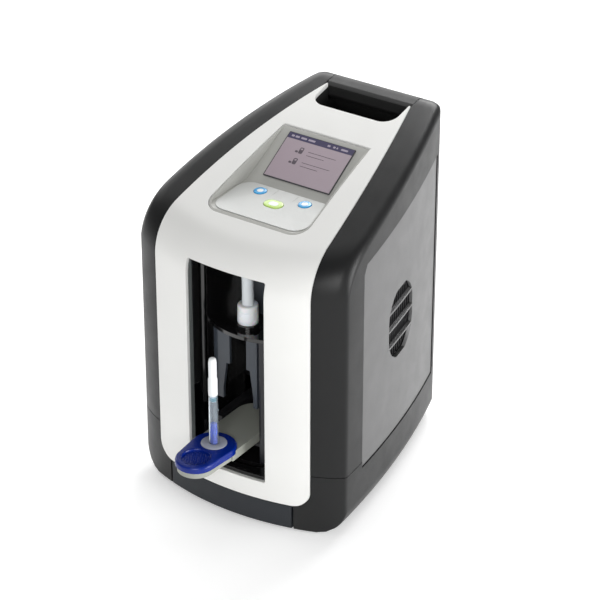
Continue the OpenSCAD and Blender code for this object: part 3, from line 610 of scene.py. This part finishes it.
def recess_plan(grow):
    radius = 13
    front, rear = RECESS_W / 2 + grow, RECESS_REAR_W / 2 + grow
    y0, y1 = RECESS_Y0 - grow, RECESS_Y1 + grow
    right = [(front - radius - 0.6 + radius * math.sin(a), y0 + radius - radius * math.cos(a))
             for a in np.linspace(0, math.pi / 2, 12)]
    right.append((rear, y1))
    return right + [(-x, y) for x, y in right[::-1]]


GRAB_W, GRAB_Y0 = 73.0, 165.0


def grab_plan(grow, y1=PANEL_Y1 + 20):
    return rounded_rect(0, (GRAB_Y0 + y1) / 2, GRAB_W + 2 * grow, y1 - GRAB_Y0 + 2 * grow, 12 + grow)


# ---------------------------------------------------------------- shells
def make_front_panel():
    panel = shell("panel_shell", 0.0, 3.0)
    boolean(panel, "INTERSECT", panel_column(0, PANEL_Y1))
    boolean(panel, "DIFFERENCE", opening_hole(0, -10, 30),
            cutter(prism("recess", recess_plan(1.6), "z", 215, 320)),
            cutter(prism("grab", grab_plan(0), "z", 215, 320)))
    smooth_skin(panel, 0.0)
    finish_piece(panel, "panel_white", ["front_panel"])


def side_window(grow):
    """Outline of the side panel in Y and Z. Its top edge rises towards the rear."""
    low, y0, y1 = 46 - grow, 50 - grow, 196 + grow
    slope = (239 - 215) / (216 - 54)
    end = 239 + grow - slope * (216 + grow - y1)
    return [(y0, low), (y1, low), (y1, end), (54, 215 + grow), (y0, 208 + grow)]


REAR_W, REAR_Z1 = 76.0, 255.0
VENT_Y, VENT_Z, VENT_W, VENT_H = 118.0, 137.0, 47.0, 60.0
WINDOW_PITCH, WINDOW_H = 14.6, 13.1


def make_side(name, hand):
    cover = shell(f"cover_{name}", 0.0, 3.0)
    boolean(cover, "INTERSECT", cutter(block("half", (0 if hand > 0 else -120, -6, BASE_H),
                                             (120 if hand > 0 else 0, BODY_D + 6, 300))))
    cuts = [((-50, PANEL_Y1 - 5, 230), (GRAB_W / 2 + 2.2, BODY_D + 5, 300)),
            ((-50, BODY_D - 12, -1), (REAR_W / 2 + SEAM, BODY_D + 5, REAR_Z1 + SEAM))]
    blocks = []
    for low, high in cuts:
        x0, x1 = sorted((hand * low[0], hand * high[0]))
        blocks.append(cutter(block("cut", (x0, low[1], low[2]), (x1, high[1], high[2]))))
    reach = sorted((hand * 40, hand * 120))
    boolean(cover, "DIFFERENCE", panel_column(SEAM, PANEL_Y1 + 1), *blocks,
            cutter(prism("window", side_window(SEAM), "x", *reach)))
    smooth_skin(cover, 0.0)
    finish_piece(cover, "cover_charcoal", [f"side_cover_{name}"])

    panel = shell(f"panel_{name}", 0.6, 3.4)
    boolean(panel, "INTERSECT", cutter(prism("window", side_window(-SEAM / 2), "x", *reach)))
    if hand > 0:
        for row in (-1.5, -0.5, 0.5, 1.5):
            z = VENT_Z + row * WINDOW_PITCH
            gap = prism("window", stadium(VENT_Y, VENT_Z, VENT_W, VENT_H, 32), "x", 50, 120)
            boolean(gap, "INTERSECT", block("row", (40, VENT_Y - 28, z - WINDOW_H / 2),
                                            (130, VENT_Y + 28, z + WINDOW_H / 2)))
            boolean(panel, "DIFFERENCE", cutter(gap))
    smooth_skin(panel, 0.6)
    finish_piece(panel, "side_grey", [f"side_panel_{name}"])


def circle(x, y, radius, steps=48):
    angles = np.linspace(0, 2 * math.pi, steps + 1)[:-1]
    return [(x + radius * math.cos(a), y + radius * math.sin(a)) for a in angles]


def stadium(cx, cy, width, height, steps=24):
    radius = min(width, height) / 2
    points = []
    for i in range(2 * steps):
        a = math.pi * 2 * i / (2 * steps)
        dx = (width / 2 - radius) * (1 if math.cos(a) > 0 else -1)
        dy = (height / 2 - radius) * (1 if math.sin(a) > 0 else -1)
        points.append((cx + dx + radius * math.cos(a), cy + dy + radius * math.sin(a)))
    return points


def make_base():
    base = shell("base_shell", 0.0, 3.0)
    boolean(base, "INTERSECT", cutter(block("low", (-120, -6, -2), (120, BODY_D + 6, BASE_H - SEAM))))
    cuts = [block("bumper", (-BUMPER_W / 2 - 1.6, -5, -1), (BUMPER_W / 2 + 1.6, 19, BUMPER_H))]
    for s in (-1, 1):
        x0, x1 = sorted((s * 40, s * 120))
        cuts.append(block("side", (x0, 50, 45.4), (x1, 196, BASE_H + 5)))
    for sx in (-1, 1):
        for x, y in ((60, 46), (34, 180)):
            cuts.append(prism("foot", circle(sx * x, y, 7.7, 40), "z", -1, 2.4))
    boolean(base, "DIFFERENCE", panel_column(SEAM, 30), *[cutter(c) for c in cuts])
    smooth_skin(base, 0.0)
    finish_piece(base, "cover_charcoal", ["base_tray"])

    bumper = shell("bumper_shell", 0.0, 4.0)
    band = block("band", (-BUMPER_W / 2, -5, 1.8), (BUMPER_W / 2, 17.4, BUMPER_H - SEAM))
    boolean(bumper, "INTERSECT", cutter(band))
    smooth_skin(bumper, 0.0)
    finish_piece(bumper, "bumper_grey", ["front_bumper"])


def make_grille():
    """Upright bars behind the side panel's windows, square to the wall at the middle of them."""
    plate = flat_prism("grille", stadium(0, 0, VENT_W + 3, VENT_H + 3, 32), -6.4, -4.4)
    slot_w, pitch, end_r = 3, 4.2, (VENT_W - 1) / 2
    for col in range(-5, 6):
        x = pitch * col
        half = (VENT_H - VENT_W) / 2 + math.sqrt(end_r ** 2 - (abs(x) + slot_w / 2) ** 2)
        slot = flat_prism("slot", rounded_rect(x, 0, slot_w, 2 * half, 0.6, 3), -9, -2)
        boolean(plate, "DIFFERENCE", slot)
    lean = math.acos((VENT_Y - SIDE_C[1]) / SIDE_R) - math.pi / 2
    half_width = SIDE_C[0] + math.sqrt(SIDE_R ** 2 - (VENT_Y - SIDE_C[1]) ** 2)
    place = Matrix.Translation(frame_point((half_width, VENT_Y, VENT_Z)))
    upright = Matrix.Rotation(math.pi / 2, 4, "Z") @ Matrix.Rotation(math.pi / 2, 4, "X")
    plate.data.transform(place @ Matrix.Rotation(-lean, 4, "Z") @ upright @ Matrix.Scale(0.001, 4))
    bevel(plate, 0.3, 2)
    finish_piece(plate, "vent_black", ["vent_grille"])


make_front_panel()
make_side("right", 1)
make_side("left", -1)
make_base()


# ---------------------------------------------------------------- display and keys
def on_slope(obj, tilt):
    """Puts an object drawn in millimetres about the fold on a face that leans by tilt from it."""
    fold = frame_point((0, FOLD_Y, FOLD_Z))
    obj.data.transform(Matrix.Translation(fold) @ Matrix.Rotation(tilt, 4, "X") @ Matrix.Scale(0.001, 4))
    return obj


def flat_prism(name, outline, low, high):
    count = len(outline)
    verts = [(*p, low) for p in outline] + [(*p, high) for p in outline]
    faces = [list(range(count)), list(range(count, 2 * count))]
    faces += [[i, (i + 1) % count, (i + 1) % count + count, i + count] for i in range(count)]
    return outward(new_object(name, verts, faces, moved=False))


def make_tub():
    front, rear = RECESS_Y0 - 1.3, RECESS_Y1
    ys = [front, *np.linspace(RECESS_Y0, rear, 15)[1:]]
    side = [(y, top_line(y) - 0.3) for y in ys]
    side += [(rear, top_line(rear) - 3.5), (FOLD_Y + 0.8, FOLD_Z - 2.2), (front, KEY_PLANE_Z - 2.2)]
    tub = prism("tub", side, "x", -60, 60)
    boolean(tub, "INTERSECT", prism("rim", recess_plan(1.3), "z", 200, 300))
    inner = [(RECESS_Y0 - 5, KEY_PLANE_Z - 0.2), (RECESS_Y0 - 5, 300), (RECESS_Y1, 300),
             (RECESS_Y1, top_line(RECESS_Y1)), (FOLD_Y, FOLD_Z), (RECESS_Y0, KEY_PLANE_Z)]
    hollow = prism("hollow", inner, "x", -60, 60)
    boolean(hollow, "INTERSECT", prism("plan", recess_plan(0), "z", 200, 310))
    pane = flat_prism("pane", [(-28, 8.7), (28, 8.7), (28, 47.7), (-28, 47.7)], -10, 10)
    boolean(tub, "DIFFERENCE", hollow, on_slope(pane, DISPLAY_TILT))
    bevel(tub, 0.5, 3)
    finish_piece(tub, "tub_grey", ["display_tub"])


def bar(name, x0, x1, s0, s1, height, material, tilt=DISPLAY_TILT, radius=0.3, base=1.0):
    outline = rounded_rect((x0 + x1) / 2, (s0 + s1) / 2, x1 - x0, s1 - s0, radius, 3)
    made = on_slope(flat_prism(name, outline, base, base + height), tilt)
    return finish_piece(made, "lcd_grey", None, material=material)


def make_display():
    pane = on_slope(flat_prism("lcd_pane", rounded_rect(0, 28.2, 59, 42, 0.8, 4), 0.1, 1.0), DISPLAY_TILT)
    bevel(pane, 0.2, 2)
    finish_piece(pane, "lcd_window", ["lcd_glass"], material="lcd_grey")
    # Lit face inside a thin dark frame, with a header bar, two pictograms and their leader lines
    bar("lcd_face", -28.8, 28.8, 8.0, 48.6, 0.04, "lcd_face")
    bar("lcd_header", -28.8, 28.8, 43.6, 48.6, 0.08, "lcd_dark")
    dashes = ((-26, -23.5), (-22.5, -19), (-17.5, -12.5), (-11, -5), (6, 8.5), (11, 13), (14, 15.2), (18, 24))
    for i, (x0, x1) in enumerate(dashes):
        bar(f"lcd_dash_{i}", x0, x1, 45.3, 46.9, 0.10, "lcd_light", radius=0.5)
    for i, (x, s) in enumerate(((-11.5, 36.0), (-11.5, 26.0))):
        bar(f"lcd_icon_{i}", x - 1.7, x + 1.7, s - 3.2, s + 2.4, 0.10, "lcd_mark", radius=1.0)
        bar(f"lcd_icon_top_{i}", x - 0.9, x + 0.9, s + 0.2, s + 1.6, 0.13, "lcd_face", radius=0.4)
        bar(f"lcd_icon_side_{i}", x - 4.6, x - 2.2, s - 2.9, s - 1.2, 0.10, "lcd_mark", radius=0.5)
        bar(f"lcd_line_{i}", -5.5, 19, s - 0.1, s + 0.3, 0.08, "lcd_mark", radius=0.1)
        bar(f"lcd_line_low_{i}", -5.5, 10, s - 3.3, s - 2.9, 0.08, "lcd_mark", radius=0.1)


KEYS = {"left": (-20.3, -10.5, 10, 10), "right": (19.3, -10.5, 10, 10), "ok": (-0.5, -22, 15.5, 11)}


def stack(name, rings, outline_of, moved=True):
    """Solid of nested outlines: each ring is (inset, height)."""
    outlines = [outline_of(inset) for inset, _ in rings]
    count = len(outlines[0])
    verts = [(*p, z) for outline, (_, z) in zip(outlines, rings) for p in outline]
    faces = [list(range(count))[::-1], list(range((len(rings) - 1) * count, len(rings) * count))]
    for k in range(len(rings) - 1):
        low, high = k * count, (k + 1) * count
        faces += [[low + i, low + (i + 1) % count, high + (i + 1) % count, high + i] for i in range(count)]
    return outward(new_object(name, verts, faces, moved))


def dome(name, key, rings):
    """Cap of a key, or the mark on it."""
    x, y, width, height = key
    made = stack(name, rings, lambda d: stadium(x, y, width - 2 * d, height - 2 * d, 20), moved=False)
    return smooth(on_slope(made, KEY_TILT), 45)


def make_keys():
    for name, key in KEYS.items():
        slot = "key_green" if name == "ok" else "key_blue"
        body = f"{name}_key"
        cap = dome(f"key_{name}", key, [(0, -1.8), (0, 0.75), (0.12, 1.0), (0.4, 1.15), (0.9, 1.2)])
        finish_piece(cap, slot, [f"button_{name}"], body)
        x, y, width, height = key
        centre = (x, y, width * 0.5, height * 0.5)
        mark = dome(f"key_{name}_mark", centre, [(0, 1.1), (0.05, 1.22), (0.5, 1.24)])
        finish_piece(mark, slot, None, body, material="key_white")
    film = flat_prism("film", rounded_rect(0, -24.5, RECESS_W - 7, 46, 11), 0.05, 0.65)
    for key in KEYS.values():
        x, y, width, height = key
        boolean(film, "DIFFERENCE", flat_prism("gap", stadium(x, y, width + 0.5, height + 0.5), -5, 5))
    on_slope(film, KEY_TILT)
    bevel(film, 0.15, 2)
    finish_piece(film, "membrane_grey", ["keypad_membrane"])
    for i, x in enumerate((-9.2, 9.2)):
        bar(f"film_line_{i}", x - 0.12, x + 0.12, -12, -3, 0.05, "tub_grey", KEY_TILT, 0.1, 0.65)


make_tub()
make_display()
make_keys()
make_grille()


# ---------------------------------------------------------------- handle and sill
def make_handle():
    """Grey cap on the handle's core. The core is black as painted shade: its dark front face under the cap
    stands in for the shadow there.
    """
    y0, under, cap, half = 192.0, 258.0, 2.4, 38.3
    ys = np.linspace(y0 + 2, BODY_D - 0.6, 16)
    crown = [(y, float(top_z(np.array(0.0), np.array(y)))) for y in ys]
    base = [(min(y, BODY_D - 2.4), z - cap) for y, z in crown[::-1]]
    edge = [(y0, top_line(y0) - cap), (y0, top_line(y0) - 1.8), (y0 + 0.7, top_line(y0) - 0.6)]
    grip = prism("handle", edge + crown + base, "x", -half, half)
    bevel(grip, 0.5, 3, 25)
    finish_piece(grip, "handle_grey", ["handle_bar"])
    low = [(y0 + 0.2, under + 5), (y0 + 5, under), (BODY_D - 5, under), (BODY_D - 0.6, under + 5)]
    high = [(y, z - 0.02) for y, z in base] + [(y0 + 0.2, top_line(y0) - cap)]
    # The core's black is painted shade for the shadowed front face under the handle's cap.
    core = prism("core", low + high, "x", -half, half)
    bevel(core, 0.6, 3, 25)
    finish_piece(core, "recess_black", ["handle_core"])


def make_frame():
    """Lining of the opening, from the panel's back to the shutter's path. Its grey is painted shade: the lining
    is white plastic, drawn mid grey as if in shadow.
    """
    middle, width, height = (OPENING_LOW + OPENING_TOP) / 2, OPENING_W, OPENING_TOP - OPENING_LOW
    lining = prism("lining", rounded_rect(0, middle, width + 4, height + 4, 3.5, 5), "y", 2.6, 10.5)
    boolean(lining, "INTERSECT", new_object("inside", *forms[3.4]))
    boolean(lining, "DIFFERENCE", prism("gap", rounded_rect(0, middle, width, height, 1.5, 5), "y", -5, 30))
    bevel(lining, 0.3, 2)
    # The lining's grey material is painted shade on what is white plastic.
    finish_piece(lining, "frame_grey", ["opening_frame"])


def make_sill():
    """Lip between the front panel and the path of the shutter, which turns about a pin."""
    half, pin_y, path_r = 32.9, 72, 60.5
    front = [(x, FRONT_R - math.sqrt((FRONT_R - 3.6) ** 2 - x * x)) for x in np.linspace(-half, half, 24)]
    back = [(x, pin_y - math.sqrt(path_r ** 2 - x * x)) for x in np.linspace(half, -half, 32)]
    lip = prism("sill", front + back, "z", OPENING_LOW, OPENING_LOW + 2.5)
    bevel(lip, 0.4, 3)
    finish_piece(lip, "well_black", ["sill_lip"])


make_handle()
make_frame()
make_sill()


# ---------------------------------------------------------------- cassette, collector and cartridge
COLLECTOR_Y, TIP_Y, TIP_R, TAIL_R = -13.0, -35.5, 15.5, 17.5
TRAY_Z, GRIP_Z, TRAY_TOP, GRIP_TOP = 58, 62.5, 65.5, 68


def grip_outline(shrink):
    """Two end circles with a waist between them."""
    tail_y = COLLECTOR_Y - 1
    lean = math.acos((TAIL_R - TIP_R) / (tail_y - TIP_Y))
    points = []
    start = math.pi / 2 - lean
    for a in np.linspace(-start, math.pi + start, 40):
        points.append(((TAIL_R - shrink) * math.cos(a), tail_y + (TAIL_R - shrink) * math.sin(a)))
    for a in np.linspace(math.pi + start, 2 * math.pi - start, 32):
        points.append(((TIP_R - shrink) * math.cos(a), TIP_Y + (TIP_R - shrink) * math.sin(a)))
    return points


def make_cassette():
    edge = [(0.6, GRIP_Z), (0.0, 63.2), (0.0, 66.4), (0.35, 67.3), (1.0, 67.87), (1.8, GRIP_TOP)]
    grip = stack("grip", edge, grip_outline)
    boolean(grip, "DIFFERENCE", prism("dimple", circle(0, TIP_Y, 11.5), "z", 66, 71),
            prism("bore", circle(0, COLLECTOR_Y, 3.6), "z", 61, 72))
    smooth(grip, 32)
    finish_piece(grip, "grip_blue", ["cassette_grip"], "cassette")
    profile = [(10.4, 66.0), (10.4, 67.4), (10.8, 67.95), (11.3, 67.95), (11.5, 67.5), (11.5, 66.0)]
    ring = lathe("grip_ring", profile, (0, TIP_Y), 64)
    finish_piece(ring, "grip_blue", None, "cassette")
    bm = bmesh.new()
    for i in range(-5, 6):
        for j in range(-5, 6):
            x, y = 1.9 * (i + 0.5 * (j % 2)), 1.65 * j
            if math.hypot(x, y) < 9.2:
                place = Matrix.Translation(frame_point((x, TIP_Y + y, 66.1)))
                place = place @ Matrix.Diagonal((1, 1, 0.8, 1))
                bmesh.ops.create_uvsphere(bm, u_segments=10, v_segments=6, radius=0.00062, matrix=place)
    mesh = bpy.data.meshes.new("grip_dots")
    bm.to_mesh(mesh)
    bm.free()
    dots = bpy.data.objects.new("grip_dots", mesh)
    scene.collection.objects.link(dots)
    smooth(dots, 80)
    finish_piece(dots, "grip_blue", None, "cassette")

    rear = [(17 * math.cos(a), 40 + 17 * math.sin(a)) for a in np.linspace(0, math.pi, 28)]
    tray = prism("tray", [(17, COLLECTOR_Y)] + rear + [(-17, COLLECTOR_Y)], "z", TRAY_Z, TRAY_TOP)
    nose = [(14 * math.cos(a), TIP_Y + 14 * math.sin(a)) for a in np.linspace(-math.pi, 0, 28)]
    nose += [(15.5, COLLECTOR_Y + 1), (-15.5, COLLECTOR_Y + 1)]
    boolean(tray, "UNION", prism("nose", nose, "z", TRAY_Z, TRAY_TOP))
    boolean(tray, "DIFFERENCE", prism("pocket", grip_outline(-0.1), "z", GRIP_Z, 80))
    bevel(tray, 0.5, 3)
    finish_piece(tray, "cassette_grey", ["cassette_body"], "cassette")

    at = (0, COLLECTOR_Y)
    profile = [(3.6, 68.02), (9.3, 68.02), (9.75, 68.3), (9.75, 68.7), (9.3, 69.02), (4.4, 69.02), (3.6, 68.8),
               (3.6, 68.02)]
    washer = lathe("washer", profile, at)
    finish_piece(washer, "washer_grey", ["collector_washer"], "cassette")
    profile = [(0, 62.5), (3.2, 62.5), (3.5, 62.9), (3.5, 109.6), (3.4, 110), (2.7, 110), (2.7, 63.5),
               (0, 63.5)]
    tube = lathe("tube", profile, at)
    finish_piece(tube, "collector_clear", ["collector_tube"], "cassette")
    core = lathe("core", [(0, 63.7), (2.3, 63.7), (2.5, 64), (2.5, 85.2), (2.1, 85.8), (0, 85.4)], at)
    finish_piece(core, "collector_blue", ["collector_core"], "cassette")
    profile = [(2.56, 105.2), (2.62, 105.4), (2.62, 108.2), (2.56, 108.4), (2.5, 108.4), (2.5, 105.2),
               (2.56, 105.2)]
    mark = lathe("teal_band", profile, at)
    finish_piece(mark, "collector_blue", None, "cassette", material="collector_teal")
    profile = [(0, 105), (2.5, 105), (2.6, 110), (3.4, 110), (3.5, 110.5), (3.5, 123.6), (3.1, 124.2),
               (3.05, 126), (3.1, 137.4), (2.9, 138.2), (2.7, 139.8), (2.0, 140.7), (1.0, 141), (0, 141)]
    tip = lathe("tip", profile, at)
    finish_piece(tip, "collector_white", ["collector_tip"], "cassette")


def make_cartridge():
    at = (0, 32)
    profile = [(4.4, 150), (6.9, 150), (7.6, 150.3), (8.0, 151.2), (7.95, 153.6), (7.75, 153.8), (7.75, 154.1),
               (7.95, 154.3), (7.9, 160.4), (7.7, 160.6), (7.7, 160.9), (7.85, 161.1), (7.7, 164.6),
               (7.3, 165.2), (6.7, 165.5), (4.4, 165.5), (4.3, 165.1), (4.3, 150.4), (4.4, 150)]
    cup = lathe("cup", profile, at)
    finish_piece(cup, "cartridge_white", ["cartridge_cup"], "cartridge")
    profile = [(3.9, 165.52), (4.6, 165.52), (4.6, 167), (4.4, 167.4), (4.4, 184.9), (4.5, 185.2), (4.5, 192.0),
               (4.1, 192.5), (0, 192.5), (0, 189), (3.3, 189), (3.3, 185), (3.9, 185), (3.9, 165.52)]
    neck = lathe("neck", profile, at)
    slant = prism("slant", [(0.5, 192.6), (12, 182.25), (20, 200), (0.5, 204)], "y", 20, 44)
    boolean(neck, "DIFFERENCE", slant)
    smooth(neck, 40)
    finish_piece(neck, "cartridge_frost", ["cartridge_neck"], "cartridge")


make_cassette()
make_cartridge()


# ---------------------------------------------------------------- floor and light
def make_floor():
    bpy.ops.mesh.primitive_plane_add(size=8, location=(0, 0, 0))
    floor = bpy.context.object
    floor.name = "floor"
    made = Shader("floor_white", (0.9, 0.9, 0.9), 0.7)
    made.vary(3, 0.005)
    made.put(Emission_Color=(1, 1, 1, 1), Emission_Strength=0.30)
    floor.data.materials.append(made.mat)


def area_light(name, location, target, size, power, color=(1, 1, 1)):
    data = bpy.data.lights.new(name, "AREA")
    data.shape, data.size, data.size_y = "RECTANGLE", size[0], size[1]
    data.energy, data.color = power, color
    light = bpy.data.objects.new(name, data)
    light.location = location
    light.rotation_mode = "QUATERNION"
    light.rotation_quaternion = (Vector(target) - Vector(location)).to_track_quat("-Z", "Y")
    scene.collection.objects.link(light)


def make_light():
    world = bpy.data.worlds.new("studio")
    scene.world = world
    world.use_nodes = True
    world.node_tree.nodes["Background"].inputs["Color"].default_value = (1, 1, 1, 1)
    world.node_tree.nodes["Background"].inputs["Strength"].default_value = 0.2
    area_light("front_right", (0.9, -1.7, 0.9), (0, 0, 0.12), (1.0, 0.8), 19.5)
    area_light("top", (-0.1, 0.2, 1.6), (0, 0, 0.1), (1.4, 1.0), 4.5)
    area_light("back_left", (-1.4, 1.0, 0.9), (0, 0, 0.2), (1.4, 0.8), 13.5)
    area_light("back_high", (-0.3, 1.7, 1.3), (0, 0, 0.2), (1.4, 0.7), 30)
    area_light("right_low", (1.9, 0.3, 0.40), (0, 0, 0.12), (1.0, 0.6), 29)
    scene.view_settings.view_transform = "Standard"
    scene.view_settings.look = "None"


make_floor()
make_light()
